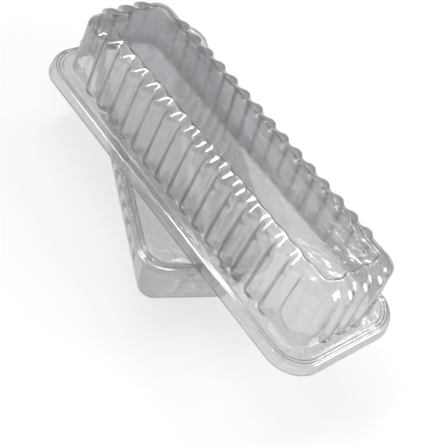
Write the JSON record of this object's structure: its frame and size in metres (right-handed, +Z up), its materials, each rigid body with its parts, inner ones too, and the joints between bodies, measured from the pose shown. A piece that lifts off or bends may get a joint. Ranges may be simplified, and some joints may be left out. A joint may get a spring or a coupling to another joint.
{
  "type": "plastic clamshell pack",
  "caption": "Long clear plastic food pack in two ribbed halves: an open tray, and a domed lid with knuckled shoulders and a turned-down rim lying askew across it.",
  "frame": {"origin": "on the table, on the underside of the tray's floor, straight below the middle of the lid", "axes": "+X along the lid, +Y across it, +Z up"},
  "size_m": [0.3176, 0.1676, 0.1026],
  "materials": {
    "tray_sheet": "gloss, clear",
    "lid_sheet": "gloss, clear"
  },
  "bodies": {
    "root": {"tray": "tray_sheet", "lid": "lid_sheet"}
  },
  "joints": []
}
